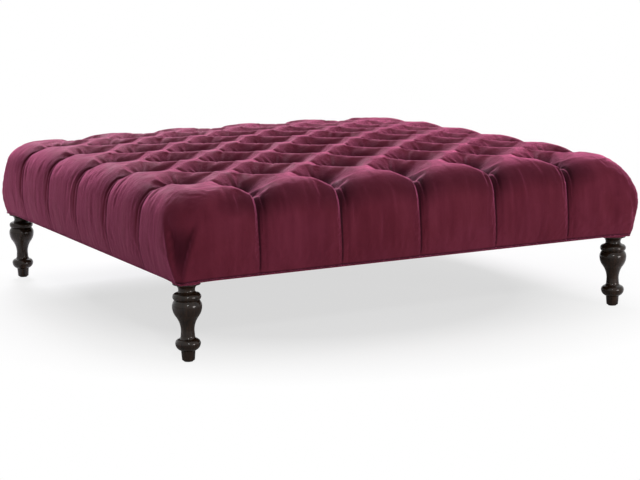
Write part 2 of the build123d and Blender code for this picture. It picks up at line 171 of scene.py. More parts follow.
# Corners: radius along the run of a side, and the stuffing of the front right one
CORNER_RUNS = np.array([0, 12, 50, 110, 160, 200, 262]) * MM
CORNER_RADII = np.array([0, 20, 66, 80, 70, 48, 12]) * MM
FULL_CORNER = 0.6
FULL_SPAN = (60 * MM, 160 * MM)
FULL_BULGE = 16 * MM
FULL_BULGE_GAP = 90 * MM
FULL_BULGE_RISE = 90 * MM
FULL_BULGE_HEIGHT = 50 * MM

# Darts either side of a corner, and the tucked-in wedge between them
DART_RISES = np.array([0, 20, 138]) * MM
DART_GAPS = np.array([5, 12, 50]) * MM
DART_TOP = (84 * MM, 148 * MM)
DART_FOOT = (-12 * MM, 60 * MM)
DART_WEDGE = 12 * MM
DART_WEDGE_EDGE = (-6 * MM, 1 * MM)
DART_GROOVE = (7 * MM, -1 * MM, 3.5 * MM)
DART_LIP = (-3 * MM, 9 * MM, 7 * MM)
DART_MIDDLE = (1.5 * MM, 0, 9 * MM)
DART_MIDDLE_TOP = (60 * MM, 110 * MM)
# Painted shade of the darts and the wedge, by their depth
DART_SHADE = 1.5

# Holding of the cloth: shares, and the distances over which each hold lets go. The tufts hold
# it above a rise and the darts below. A corner's hold ends farther out near the rim: ends in mm
HOLD_RISE = 150 * MM
TUFT_HOLD_SPAN = (9 * MM, 22 * MM)
PLEAT_HOLD = 0.85
PLEAT_HOLD_SPAN = (4 * MM, 14 * MM)
FOOT_HOLD_SPAN = (8 * MM, 64 * MM)
CORNER_HOLD = 0.9
TOP_CORNER_SPAN = (0.6, 0.9)
DART_HOLD_SPAN = (5 * MM, 14 * MM)
CORNER_HOLD_START = 8 * MM
CORNER_HOLD_ENDS = (22, 60)
CORNER_HOLD_RUNS = (60 * MM, 150 * MM)
HOLD_STEPS = 20

# Cloth simulation, and what is made of its moves
CLOTH_SETTINGS = {
    "quality": 5,
    "mass": 0.15,
    "tension_stiffness": 20,
    "compression_stiffness": 20,
    "shear_stiffness": 8,
    "bending_stiffness": 2.5,
    "use_pressure": True,
    "uniform_pressure_force": 2.5,
    "vertex_group_mass": "held",
    "pin_stiffness": 1,
    "shrink_min": -0.018,
}
CLOTH_FRAMES = 20
SWELLING_TURNS = 8
SWELLING_SHARE = 0.1
MOST_SETTLING = 5 * MM
LEAST_MOVE = 1e-9
TAUT_SHARE = 0.65
TAUT_INSIDE = 110 * MM
TAUT_OUTSIDE = 40 * MM

# Rings of the band and of each leg's lip: outward from the edge and up from the bottom, in mm
BAND_OUT = (-34, -34, -3, -1.2, 0, 0.5, 0.2, -0.8, -2)
BAND_UP = (3.4, 0, 0, 0.2, 1.0, 2.0, 2.9, 3.4, 3.4)
BAND_CORNER = 8 * MM
BAND_INSIDE = -5 * MM
BAND_INSIDE_CORNER = 2 * MM
BAND_DIP_SPAN = (-34 * MM, -10 * MM)
LIP_OUT = (-20, -6, -2, -0.6, 0, -0.4, -1.6, -4, -20)
LIP_UP = (0.1, 0, 0.3, 1.2, 2.2, 3.2, 4.1, 4.5, 4.5)
LIP_AROUND = 96
LIP_SLACK = 0.35 * MM
LIP_WAVES = (7, 12)
SECOND_WAVE = 0.6
LIP_INSIDE = -5 * MM

# Buttons: their tilt and turn, and how uneven their cloth is
BUTTON_TILT = 0.08
BUTTON_TURN = 6.28
BUTTON_UNEVEN = 1.2 * MM
BUTTON_GRAIN = 160.0

# Colours
# The darkest velvet colour is painted shade for the folds and pits
VELVET_PAINTED_SHADE = (0.024, 0.0021, 0.0062, 1)
VELVET_BODY = (0.104, 0.0130, 0.0250, 1)
VELVET_WORN = (0.120, 0.0165, 0.0330, 1)
VELVET_SHEEN = (0.98, 0.22, 0.45, 1)
PALE_WOOD = (0.52, 0.33, 0.17, 1)
WOOD_SHADE = (0.36, 0.20, 0.09, 1)
WHITE = (1, 1, 1, 1)

# Stage: floor, world, lamps and camera
FLOOR_HALF = 15
FLOOR_COLOUR = (0.9, 0.9, 0.9, 1)
FLOOR_FADE = (0.55, 1.02, 0.66, 1.0)
WORLD_LEVEL = 0.25
LAMPS = {
    "key": ((0.6, 3.9, 2.4), (0, 0, 0.35), 1.4, 230, (0.95, 0.93, 1.0)),
    "overhead": ((0.3, 0.6, 3.2), (0.1, 0, 0.4), 2.2, 28, (1.0, 0.97, 1.0)),
    "fill": ((1.9, -4.4, 0.4), (0, 0, 0.2), 1.6, 112, (1.0, 0.93, 0.92)),
    "glint": ((-1.5, -3.9, 2.2), (-0.4, -0.5, 0.1), 0.36, 30, (1.0, 1.0, 1.0)),
}
CAMERA_PLACE = (-2.098, -4.160, 0.939)
YAW = math.radians(27.35)
PITCH = math.radians(9.81)
ROLL = math.radians(-0.84)
FOCAL_PIXELS = 1796.0
IMAGE_WIDTH = 640


def smooth(low, high, x):
    share = np.clip((x - low) / (high - low), 0, 1)
    return share * share * (3 - 2 * share)


def bump(x, width):
    return np.exp(-((x / width) ** 2))


# A soft line of a size, place and width
def fold_line(across, line):
    size, place, width = line
    return size * bump(across - place, width)


# A ridge with a groove beside it: the groove's depth, distance and width by the ridge's own
def ridge(across, width, groove):
    depth, distance, narrowing = groove
    return bump(across, width) - depth * bump(across - distance * width, width * narrowing)


# Points of an arc from start to end that leaves start along a direction
def arc_points(start, end, direction, count=60):
    start, end, direction = (np.array(v, float) for v in (start, end, direction))
    direction /= np.linalg.norm(direction)
    chord = end - start
    across = chord - chord.dot(direction) * direction
    side = across / np.linalg.norm(across)
    half_turn = math.atan2(np.linalg.norm(across), chord.dot(direction))
    radius = np.linalg.norm(chord) / (2 * math.sin(half_turn))
    turn = np.linspace(0, 2 * half_turn, count)[:, None]
    points = start + radius * (np.sin(turn) * direction + (1 - np.cos(turn)) * side)
    leaving = math.cos(2 * half_turn) * direction + math.sin(2 * half_turn) * side
    return points, leaving


# Place of a column: drawn to every tuft line on the top, to the pleats alone on the side
def column_place(grid, draw):
    on_top = TOP_DRAW * np.sin(2 * math.pi * grid / HALF_STEP) * HALF_STEP / (2 * math.pi)
    fade = 1 - smooth(LAST_DRAWN, LAST_DRAWN + HALF_STEP / 2, np.abs(grid))
    on_side = SIDE_DRAW * np.sin(math.pi * grid / HALF_STEP) * HALF_STEP / math.pi * fade
    return grid - (1 - draw) * on_top - draw * on_side


# Rows of the side, from the rim of the crown down to the foot: run, place, height and normal
def side_rows():
    rim = (BELLY_HALF - SHOULDER_REACH, CROWN - CROWN_RISE)
    flank = (BELLY_HALF - FLANK_LEAN, FOOT + FLANK_RISE)
    belly = (BELLY_HALF, FOOT + BELLY_RISE)
    foot = (BASE_HALF, FOOT)
    lean, leaving = arc_points(belly, flank, (0, 1))
    shoulder, _ = arc_points(flank, rim, leaving)
    side, _ = arc_points(belly, foot, (0, -1))
    start = column_place(TOP_HALF, 0)
    line = np.vstack([[start, rim[1]], shoulder[::-1], lean[::-1][1:], side[1:]])
    runs = np.r_[0, np.cumsum(np.linalg.norm(np.diff(line, axis=0), axis=1))]
    count = 2 * int(round(runs[-1] / RING_STEP / 2))
    run = np.linspace(0, runs[-1], count + 1)
    place = np.interp(run, runs, line[:, 0])
    height = np.interp(run, runs, line[:, 1])
    slope = np.gradient(np.c_[place, height], run, axis=0)
    slope /= np.linalg.norm(slope, axis=1)[:, None]
    return run, place, height, -slope[:, 1], slope[:, 0]


# Depth of a crisp and a soft valley: shares are 0 on the middle of a pillow, 1 in the valley
def valley_depth(across, along):
    crisp = 1 - (1 - across ** CRISP_POWERS[0]) ** CRISP_POWERS[1]
    soft = 1 - (1 - along ** SOFT_POWERS[0]) ** SOFT_POWERS[1]
    return CRISP_VALLEY * crisp + SOFT_VALLEY * soft


# Funnel round a tuft, steeper towards its floor and wider towards the pillows, under a crown
def funnel_depth(away, turn, height):
    depth = height - PIT_FLOOR - CRISP_VALLEY - SOFT_VALLEY
    radius = FUNNEL_RADIUS + FUNNEL_STRETCH * np.abs(np.cos(2 * turn))
    share = np.clip((away - FUNNEL_START) / radius, 0, 1)
    return depth * (1 - share) ** FUNNEL_POWER


# Distance and direction from the nearest tuft, and a number of its own for each tuft
def tuft_polar(x, y):
    u = np.floor((x + y) / STEP) + 0.5
    v = np.floor((x - y) / STEP) + 0.5
    tuft_x = (u + v) * HALF_STEP
    tuft_y = (u - v) * HALF_STEP
    limit = ROW_HALF + CELL
    inside = (np.abs(tuft_x) < limit) & (np.abs(tuft_y) < limit)
    away = np.where(inside, np.hypot(x - tuft_x, y - tuft_y), 1)
    turn = np.arctan2(y - tuft_y, x - tuft_x)
    kind = np.round(tuft_x / HALF_STEP) * KINDS_A_ROW + np.round(tuft_y / HALF_STEP)
    return away, turn, kind


def pillow_depth(x, y):
    a = (x + y) / STEP
    b = (x - y) / STEP
    across = np.clip(2 * np.abs(a - np.round(a)), 0, 1)
    along = np.clip(2 * np.abs(b - np.round(b)), 0, 1)
    return valley_depth(across, along)


def nearest_pleat(x):
    return np.clip(np.round(x / STEP) * STEP, -OUTER_PLEAT, OUTER_PLEAT)


# Depth of a side's pleats and bays under the outline, at levels past the outer tufts
def bay_depth(x, level, fold, side_here):
    away = x - nearest_pleat(x)
    share = 1 - np.clip(np.abs(away) / HALF_STEP, 0, 1)
    pull = PLEAT_PULLS[side_here]
    pulled = pull + (1 - pull) * smooth(*PLEAT_PULL_SPAN, level)
    depth = np.interp(level, PLEAT_LEVELS, PLEAT_DEPTHS)
    depth = PLEAT_DEPTHS[0] + (depth - PLEAT_DEPTHS[0]) * pulled
    blend = smooth(0, PLEAT_START, level)
    depth *= 1 - (1 - PLEAT_LASTS[side_here]) * blend
    high = valley_depth(share, share) / (CRISP_VALLEY + SOFT_VALLEY)
    side = away * fold
    near = np.interp(level, PLEAT_LEVELS, NEAR_REACHES)
    far = np.interp(level, PLEAT_LEVELS, FAR_REACHES)
    reach = np.where(side < 0, near, far)
    low = np.exp(-((np.abs(side) / reach) ** PLEAT_POWER)) + BAY_SAG * share**BAY_SAG_POWER
    low = low / (1 + BAY_SAG) + fold_line(side, SECOND_FOLD) + fold_line(side, PLEAT_EDGE)
    return depth * ((1 - blend) * high + blend * low)


# How far a pleat and the cloth beside it wander sideways at a level
def pleat_wander(x, level):
    pleat = nearest_pleat(x)
    beside = 1 - smooth(*WANDER_REACH, np.abs(x - pleat))
    wave = np.sin(level * WANDER_WAVES[0] + pleat * WANDER_WAVES[1])
    return WANDER * wave * smooth(*WANDER_SPAN, level) * beside


# Fine folds that fan out of each tuft on its back left side, a little different at each
def fan_height(away, turn, kind):
    lift = np.zeros_like(away)
    for number, lean in enumerate(FAN_LEANS):
        shift = FAN_SHIFT * np.sin(kind * 2.3 + number * 1.7)
        farther = 1 + FAN_BEND * np.clip(away / FAN_BEND_REACH, 0, 1)
        bend = np.radians(lean + shift) * farther
        off = (turn - math.radians(FAN_MIDDLE) - bend + math.pi) % (2 * math.pi) - math.pi
        width = FAN_WIDTH + FAN_WIDENING * away
        length = (FAN_LENGTHS[0] + FAN_LENGTHS[1] * np.sin(kind * 1.1 + number * 2.9)) * MM
        window = smooth(*FAN_START, away) * (1 - smooth(length * FAN_FADE, length, away))
        size = (FAN_HEIGHTS[0] + FAN_HEIGHTS[1] * np.sin(kind * 3.7 + number)) * MM
        lift += size * window * ridge(off * away, width, FAN_GROOVE)
    return lift


# Soft upright wrinkles on the bays of one side
def side_wrinkles(side):
    random = np.random.default_rng(WRINKLE_SEED + side)
    wrinkles = []
    for bay in range(-ROWS, ROWS + 1, 2):
        for _ in range(WRINKLES_A_BAY):
            drawn = [random.uniform(*span) for span in WRINKLE_RANGES]
            place, lean, level, half, width, height = drawn
            place = bay * HALF_STEP + place * HALF_STEP
            height = height * WRINKLING[side] * MM
            wrinkles.append((place, lean, level * MM, half * MM, width * MM, height))
    return wrinkles


def wrinkle_height(x, level, wrinkles):
    lift = np.zeros_like(x)
    for place, lean, middle, half, width, height in wrinkles:
        along = (level - middle) / half
        window = max(0, 1 - along * along) ** 2
        if window > 0:
            across = x - place - lean * (level - middle)
            lift += height * window * ridge(across, width, WRINKLE_GROOVE)
    return lift


# Distance of the darts from the corner, and their depth with the wedge between them
def dart_place(rise):
    return np.interp(rise, DART_RISES, DART_GAPS)


def dart_depth(gap, rise):
    window = 1 - smooth(*DART_TOP, rise)
    foot = smooth(*DART_FOOT, rise)
    off = gap - dart_place(rise)
    wedge = DART_WEDGE * (1 - smooth(*DART_WEDGE_EDGE, off)) * foot
    groove = fold_line(off, DART_GROOVE) * foot
    lip = fold_line(off, DART_LIP) * foot
    middle = fold_line(gap, DART_MIDDLE) * (1 - smooth(*DART_MIDDLE_TOP, rise)) * foot
    return window * (wedge + groove + lip + middle)


# How far the bottom edge hangs down towards a corner
def edge_dip(gap):
    return EDGE_DIP * (1 - np.clip(gap / EDGE_DIP_REACH, 0, 1)) ** 2


# One turn round the ottoman at a level: places, outward directions and gaps to the corner
def round_line(grid, half, corner, draw):
    cornered = smooth(SPREAD_START, TOP_HALF, np.abs(grid))
    outer = column_place(TOP_HALF, draw)
    x = column_place(grid, draw) + (half - outer) * cornered * np.sign(grid)
    x += PLEAT_SPREAD * draw * x * (1 - cornered)
    gap = half - np.abs(x)
    turning = gap < corner
    turned_share = 1 - gap / np.maximum(corner, LEAST_CORNER)
    angle = np.where(turning, math.pi / 4 * turned_share, 0)
    nx = np.sin(angle) * np.sign(x)
    ny = -np.cos(angle)
    px = np.where(turning, (half - corner) * np.sign(x) + corner * nx, x)
    py = np.where(turning, -(half - corner) + corner * ny, -half)
    return x, px, py, nx, ny, gap


# Points of the front's frame turned onto their own sides
def turn_sides(px, py, pz, side):
    cos_side = np.array([1, 0, -1, 0])[side]
    sin_side = np.array([0, 1, 0, -1])[side]
    return np.stack([px * cos_side - py * sin_side, px * sin_side + py * cos_side, pz], axis=-1)


# How firmly the cloth is held: 1 at the tufts and the foot, less along the pleats
def hold_shares(points, level, across, rise):
    away, _, _ = tuft_polar(points[:, 0], points[:, 1])
    tufted = (1 - smooth(*TUFT_HOLD_SPAN, away)) * (rise > HOLD_RISE)
    pleated = PLEAT_HOLD * (1 - smooth(*PLEAT_HOLD_SPAN, across)) * (level > 0)
    foot = 1 - smooth(*FOOT_HOLD_SPAN, rise)
    return np.maximum(np.maximum(tufted, pleated), foot)


# Faces between two closed rings of points
def ring_faces(first, second):
    corners = [first, np.roll(first, -1), np.roll(second, -1), second]
    return np.stack(corners, axis=-1)


# Faces of a square grid with rings hung from its border, the border and the last ring
def hung_faces(cells, rings):
    index = np.arange((cells + 1) ** 2).reshape(cells + 1, cells + 1)
    quads = [index[:-1, :-1], index[1:, :-1], index[1:, 1:], index[:-1, 1:]]
    faces = [np.stack(quads, axis=-1).reshape(-1, 4)]
    edges = [index[:-1, 0], index[-1, :-1], index[::-1, -1][:-1], index[0, ::-1][:-1]]
    border = np.concatenate(edges)
    previous = border
    for ring in range(rings):
        current = index.size + ring * len(border) + np.arange(len(border))
        faces.append(ring_faces(current, previous))
        previous = current
    return np.vstack(faces), border, previous


# Top of the cover on a square grid: points, painted shade shares and hold shares
def cover_top(line):
    x, y = np.meshgrid(line, line, indexing="ij")
    flat_x = (x / line[-1]) ** 2
    flat_y = (y / line[-1]) ** 2
    both = flat_x * flat_y
    z = CROWN - CROWN_RISE * (flat_x + flat_y - both) - CORNER_FALL * both**2
    away, turn, kind = tuft_polar(x, y)
    level = np.maximum(np.abs(x), np.abs(y)) - ROW_HALF
    over_front = np.abs(y) >= np.abs(x)
    along = np.where(over_front, x, y)
    side = np.where(over_front, np.where(y > 0, 2, 0), np.where(x > 0, 1, 3))
    fold = FOLD_SIGNS[side] * COLUMN_SIGNS[side]
    bay = bay_depth(along, np.maximum(level, 0), fold, side)
    depth = np.where(level > 0, bay, pillow_depth(x, y)) + funnel_depth(away, turn, z)
    # Painted shade share: darker the deeper the valleys, pleats and funnels
    painted_shades = (depth / PAINTED_SHADE_DEPTH).reshape(-1)
    depth += BUTTON_WELL * (1 - smooth(*BUTTON_WELL_SPAN, away))
    depth -= fan_height(away, turn, kind)
    points = np.stack([x, y, z - depth], axis=-1).reshape(-1, 3)
    from_pleat = np.abs(along - nearest_pleat(along))
    holds = hold_shares(points, level.reshape(-1), from_pleat.reshape(-1), points[:, 2])
    cornered = CORNER_HOLD * smooth(*TOP_CORNER_SPAN, both).reshape(-1)
    return points, painted_shades, np.maximum(holds, cornered)


# One row round the sides of the cover: points, painted shade shares and hold shares
def cover_row(run, place, height, out, up, columns, wrinkles):
    grid, side, edge = columns
    fold = FOLD_SIGNS[side]
    full = FULL_CORNER * (((side == 0) & (grid > 0)) | ((side == 1) & (grid < 0)))
    full = full * smooth(*FULL_SPAN, run)
    draw = smooth(0, DRAW_RUN, run)
    corner = np.interp(run, CORNER_RUNS, CORNER_RADII) * (1 - full)
    x, px, py, nx, ny, gap = round_line(grid, place, corner, draw)
    level = run + edge - ROW_HALF
    rise = height - FOOT
    inner = x / (1 + PLEAT_SPREAD * draw)
    from_tuft = inner - np.round(inner / STEP) * STEP
    away = np.where(np.abs(inner) < FUNNEL_COLUMNS, np.hypot(from_tuft, level), 1)
    turn = np.arctan2(level, from_tuft)
    inward = bay_depth(inner, level, fold, side) + funnel_depth(away, turn, CROWN - CROWN_RISE)
    dart = dart_depth(gap, rise) * (1 - full)
    stuffed = FULL_BULGE * full * bump(gap, FULL_BULGE_GAP)
    stuffed = stuffed * bump(rise - FULL_BULGE_RISE, FULL_BULGE_HEIGHT)

    from_pleat = inner - nearest_pleat(inner)
    # Painted shade: darker with the depth of pleats, funnels and darts, in a band under the
    # shoulder, along the pleat creases and at the seam by the foot
    painted_seam_shade = SEAM_SHADE * smooth(*SEAM_RISES, rise)
    painted_shoulder_shade = fold_line(level, SHOULDER_SHADE) * smooth(*SHOULDER_SHADE_GAPS, gap)
    painted_crease_shade = fold_line(from_pleat * fold, PLEAT_CREASE_SHADE) * smooth(0, CREASE_SHADE_RISE, rise)
    painted_shades = np.maximum((inward + DART_SHADE * dart) / PAINTED_SHADE_DEPTH + painted_shoulder_shade + painted_crease_shade, painted_seam_shade)

    flat = np.c_[inner, np.full(len(grid), -ROW_HALF - level)]
    hold = hold_shares(flat, level, np.abs(from_pleat), rise)
    from_dart = np.abs(gap - dart_place(rise))
    darted = CORNER_HOLD * (1 - smooth(*DART_HOLD_SPAN, from_dart)) * (rise < HOLD_RISE)
    least, more = CORNER_HOLD_ENDS
    widest = (least + more * (1 - smooth(*CORNER_HOLD_RUNS, run))) * MM
    cornered = CORNER_HOLD * (1 - smooth(CORNER_HOLD_START, widest, gap))
    holds = np.maximum(np.maximum(hold, darted), cornered)

    for number in range(len(SIDES)):
        here = side == number
        from_corner = smooth(*WRINKLE_GAPS, gap[here])
        inward[here] -= from_corner * wrinkle_height(inner[here], level, wrinkles[number])
    inward += dart - stuffed
    px = px + pleat_wander(inner, level) - inward * nx * out
    py = py - inward * ny * out
    fall = CORNER_FALL * (column_place(grid, 0) / edge) ** 4 * (1 - smooth(0, FALL_RUN, run))
    pz = height - inward * up - edge_dip(gap) * smooth(EDGE_DIP_RISE, 0, rise) - fall
    return turn_sides(px, py, pz, side), painted_shades, holds


# The whole cover: points, faces, painted shade shares, holds, its foot and its columns round the
# sides
def cover_mesh():
    rows = side_rows()
    grid = np.linspace(-TOP_HALF, TOP_HALF, CELLS_ACROSS + 1)
    line = column_place(grid, 0)
    faces, border, foot = hung_faces(CELLS_ACROSS, len(rows[0]) - 1)
    column = np.arange(len(border))
    columns = (grid[column % CELLS_ACROSS], column // CELLS_ACROSS, line[-1])
    wrinkles = [side_wrinkles(number) for number in range(len(SIDES))]
    parts = [cover_top(line)]
    for row in zip(*(values[1:] for values in rows)):
        parts.append(cover_row(*row, columns, wrinkles))
    points, painted_shades, holds = zip(*parts)
    return np.vstack(points), faces, np.concatenate(painted_shades), np.concatenate(holds), foot, columns


# Every other point of a cover: its top as a square grid and its sides as rings under the rim
def thinned(points):
    count = (CELLS_ACROSS + 1) ** 2
    top = points[:count].reshape(CELLS_ACROSS + 1, CELLS_ACROSS + 1, -1)
    rings = points[count:].reshape(-1, 4 * CELLS_ACROSS, points.shape[1])
    return top[::2, ::2], rings[1::2, ::2]


# Twice as many points along one axis, halfway values between neighbours
def doubled(values, axis, closed):
    after = np.roll(values, -1, axis=axis)
    halfway = (values + after) / 2
    pairs = np.stack([values, halfway], axis=axis + 1)
    shape = list(values.shape)
    shape[axis] *= 2
    pairs = pairs.reshape(shape)
    return pairs if closed else np.delete(pairs, -1, axis=axis)


# Values averaged with their neighbours across the faces, over and over
def spread_out(values, faces, turns):
    before = np.concatenate([faces[:, corner] for corner in range(4)])
    after = np.concatenate([faces[:, (corner + 1) % 4] for corner in range(4)])
    count = np.bincount(before, minlength=len(values)) + np.bincount(after, minlength=len(values))
    for _ in range(turns):
        total = np.empty_like(values)
        for axis in range(3):
            near = np.bincount(before, values[after, axis], len(values))
            total[:, axis] = near + np.bincount(after, values[before, axis], len(values))
        values = total / count[:, None]
    return values


# Moves of the points of a cloth that swells a little where it isn't held
def simulated_moves(start, faces, held):
    made = mesh_object("settling", start, faces, velvet)
    group = made.vertex_groups.new(name="held")
    for step in range(HOLD_STEPS + 1):
        chosen = np.nonzero(np.round(held * HOLD_STEPS) == step)[0]
        group.add([int(number) for number in chosen], step / HOLD_STEPS, "REPLACE")
    cloth = made.modifiers.new("settle", "CLOTH")
    for name, value in CLOTH_SETTINGS.items():
        setattr(cloth.settings, name, value)
    cloth.settings.effector_weights.gravity = 0
    cloth.collision_settings.use_collision = False
    scene = bpy.context.scene
    for step in range(1, CLOTH_FRAMES + 1):
        scene.frame_set(step)
    shaped = made.evaluated_get(bpy.context.evaluated_depsgraph_get())
    moved = np.zeros(len(start) * 3, np.float32)
    shaped.data.vertices.foreach_get("co", moved)
    scene.frame_set(1)
    bpy.data.objects.remove(made)
    return moved.reshape(-1, 3) - start


# How far each point of the cover settles: the simulation's moves on every other point, with
# little of their broad swelling, no longer than the most, less on the taut left side
def settle_moves(vertices, holds):
    top, rings = thinned(vertices)
    half = CELLS_ACROSS // 2
    faces, border, _ = hung_faces(half, len(rings))
    start = np.vstack([top.reshape(-1, 3), rings.reshape(-1, 3)])
    held = np.concatenate([part.reshape(-1) for part in thinned(holds[:, None])])
    moves = simulated_moves(start, faces, held)
    moves += (SWELLING_SHARE - 1) * spread_out(moves, faces, SWELLING_TURNS)
    size = np.linalg.norm(moves, axis=1)
    taut = smooth(BELLY_HALF - TAUT_INSIDE, BELLY_HALF - TAUT_OUTSIDE, -start[:, 0])
    share = np.minimum(size, MOST_SETTLING) / np.maximum(size, LEAST_MOVE)
    moves *= (share * (1 - TAUT_SHARE * taut))[:, None]
    count = (half + 1) ** 2
    top_moves = moves[:count].reshape(half + 1, half + 1, 3)
    ring_moves = np.vstack([moves[border][None], moves[count:].reshape(-1, 4 * half, 3)])
    top_moves = doubled(doubled(top_moves, 0, False), 1, False)
    ring_moves = doubled(doubled(ring_moves, 1, True), 0, False)[1:]
    return np.vstack([top_moves.reshape(-1, 3), ring_moves.reshape(-1, 3)])


# Band of folded velvet under the edge of the cover, hanging with it at the corners
def band_mesh(columns):
    grid, side, _ = columns
    rings = []
    for offset, level in zip(np.array(BAND_OUT) * MM, np.array(BAND_UP) * MM):
        corner = BAND_CORNER + offset if offset > BAND_INSIDE else BAND_INSIDE_CORNER
        _, px, py, _, _, gap = round_line(grid, BASE_HALF + offset, corner, 1)
        dip = edge_dip(gap) * smooth(*BAND_DIP_SPAN, offset)
        rings.append(turn_sides(px, py, band_low.z + level - dip, side))
    index = np.arange(len(rings) * len(grid)).reshape(len(rings), -1)
    after = np.roll(index, -1, axis=0)
    faces = [ring_faces(here, there) for here, there in zip(index, after)]
    return np.vstack(rings), np.vstack(faces)


# Folds of velvet that show as a soft lip between the band and each leg
def tuck_mesh():
    turn = np.arange(LIP_AROUND) * 2 * math.pi / LIP_AROUND
    radius = tuck_high.x - LEG_PLACE
    vertices = []
    faces = []
    for number, (left, deep) in enumerate(((-1, -1), (1, -1), (-1, 1), (1, 1))):
        start = number * LIP_AROUND * len(LIP_OUT)
        ripple = np.sin(turn * LIP_WAVES[0] + number)
        ripple = ripple + SECOND_WAVE * np.sin(turn * LIP_WAVES[1] + 2 * number)
        index = start + np.arange(LIP_AROUND * len(LIP_OUT)).reshape(-1, LIP_AROUND)
        for ring, (out, up) in enumerate(zip(np.array(LIP_OUT) * MM, np.array(LIP_UP) * MM)):
            slack = LIP_SLACK * (ripple - (1 + SECOND_WAVE)) * (out > LIP_INSIDE)
            x = left * LEG_PLACE + (radius + out + slack) * np.cos(turn)
            y = deep * LEG_PLACE + (radius + out + slack) * np.sin(turn)
            vertices.append(np.c_[x, y, np.full(LIP_AROUND, tuck_low.z + up)])
            if ring:
                faces += list(ring_faces(index[ring - 1], index[ring]))
        faces += [index[0][::-1], index[-1]]
    return np.vstack(vertices), faces


def mesh_object(name, vertices, faces, material):
    mesh = bpy.data.meshes.new(name)
    mesh.from_pydata([tuple(v) for v in vertices], [], [tuple(f) for f in faces])
    mesh.polygons.foreach_set("use_smooth", [True] * len(mesh.polygons))
    mesh.update()
    mesh.materials.append(material)
    made = bpy.data.objects.new(name, mesh)
    bpy.context.scene.collection.objects.link(made)
    return made


# A node with settings of its own and with its inputs set or linked
def add(tree, kind, inputs=None, **settings):
    made = tree.nodes.new(kind)
    for name, value in settings.items():
        setattr(made, name, value)
    for name, value in (inputs or {}).items():
        if isinstance(value, bpy.types.NodeSocket):
            tree.links.new(value, made.inputs[name])
        else:
            made.inputs[name].default_value = value
    return made


def group_ends(group):
    return group.nodes.new("NodeGroupInput").outputs, group.nodes.new("NodeGroupOutput").inputs


# A shader group with named inputs and outputs
def shader_group(name, inputs, outputs):
    group = bpy.data.node_groups.new(name, "ShaderNodeTree")
    for label, value in inputs.items():
        plain = isinstance(value, (int, float))
        kind = "Float" if plain else "Color" if len(value) == 4 else "Vector"
        socket = group.interface.new_socket(label, in_out="INPUT", socket_type="NodeSocket" + kind)
        socket.default_value = value
    for label, kind in outputs.items():
        group.interface.new_socket(label, in_out="OUTPUT", socket_type="NodeSocket" + kind)
    return group, *group_ends(group)


def mix_colour(tree, share, first, second, blend="MIX"):
    inputs = {0: share, 6: first, 7: second}
    return add(tree, "ShaderNodeMix", inputs, data_type="RGBA", blend_type=blend).outputs[2]


def in_range(tree, value, low, high, to_low=0.0, to_high=1.0):
    limits = {"From Min": low, "From Max": high, "To Min": to_low, "To Max": to_high}
    return add(tree, "ShaderNodeMapRange", {"Value": value, **limits}).outputs["Result"]


def stretched_place(tree, stretch):
    place = add(tree, "ShaderNodeTexCoord").outputs["Object"]
    inputs = {0: place, 1: stretch}
    return add(tree, "ShaderNodeVectorMath", inputs, operation="MULTIPLY").outputs[0]


# Soft blotches between two colours, stretched by a vector
def make_blotches():
    inputs = {"Dark": (0, 0, 0, 1), "Light": WHITE, "Per Metre": 20.0, "Stretch": (1, 1, 1)}
    group, given, out = shader_group("blotches", inputs, {"Colour": "Color", "Share": "Float"})
    drawn = stretched_place(group, given["Stretch"])
    cloudy = {"Vector": drawn, "Scale": given["Per Metre"], "Detail": 4.0, "Roughness": 0.6}
    noise = add(group, "ShaderNodeTexNoise", cloudy)
    share = in_range(group, noise.outputs[0], 0.33, 0.67)
    group.links.new(mix_colour(group, share, given["Dark"], given["Light"]), out["Colour"])
    group.links.new(share, out["Share"])
    return group


# Long grain with darker pores, along the axis that the stretch leaves small
def make_grain():
    inputs = {"Dark": (0.2, 0.1, 0.05, 1), "Light": (0.6, 0.4, 0.2, 1), "Stretch": (60, 60, 4)}
    inputs["Pores"] = 6.0
    group, given, out = shader_group("wood_grain", inputs, {"Colour": "Color", "Height": "Float"})
    drawn = stretched_place(group, given["Stretch"])
    wavy = {"Vector": drawn, "Scale": 1.0, "Distortion": 0.8}
    rings = add(group, "ShaderNodeTexNoise", wavy)
    fine = {"Vector": drawn, "Scale": given["Pores"], "Detail": 3.0}
    pores = add(group, "ShaderNodeTexNoise", fine)
    share = in_range(group, rings.outputs[0], 0.3, 0.7)
    dark = in_range(group, pores.outputs[0], 0.36, 0.44, 0.65, 1.0)
    toned = mix_colour(group, share, given["Dark"], given["Light"])
    pored = add(group, "ShaderNodeVectorMath", {0: toned, "Scale": dark}, operation="SCALE")
    group.links.new(pored.outputs[0], out["Colour"])
    group.links.new(dark, out["Height"])
    return group


# Fine fibres of a cloth: short specks of light and dark, as colour share and height
def make_fibres():
    inputs = {"Dark": (0, 0, 0, 1), "Light": WHITE, "Per Metre": 900.0}
    group, given, out = shader_group("fibres", inputs, {"Colour": "Color", "Height": "Float"})
    place = add(group, "ShaderNodeTexCoord").outputs["Object"]
    spaced = {"Vector": place, "Scale": given["Per Metre"]}
    specks = add(group, "ShaderNodeTexNoise", {**spaced, "Detail": 2.0})
    threads = add(group, "ShaderNodeTexVoronoi", spaced)
    height = add(group, "ShaderNodeMath", {0: specks.outputs[0], 1: threads.outputs["Distance"]})
    share = in_range(group, height.outputs[0], 0.5, 1.4)
    group.links.new(mix_colour(group, share, given["Dark"], given["Light"]), out["Colour"])
    group.links.new(share, out["Height"])
    return group


# A material whose shader's inputs are named with _ for a space
def new_material(name, **values):
    material = bpy.data.materials.new(name)
    material.use_nodes = True
    shader = material.node_tree.nodes["Principled BSDF"]
    for label, value in values.items():
        shader.inputs[label.replace("_", " ")].default_value = value
    return material, material.node_tree, shader


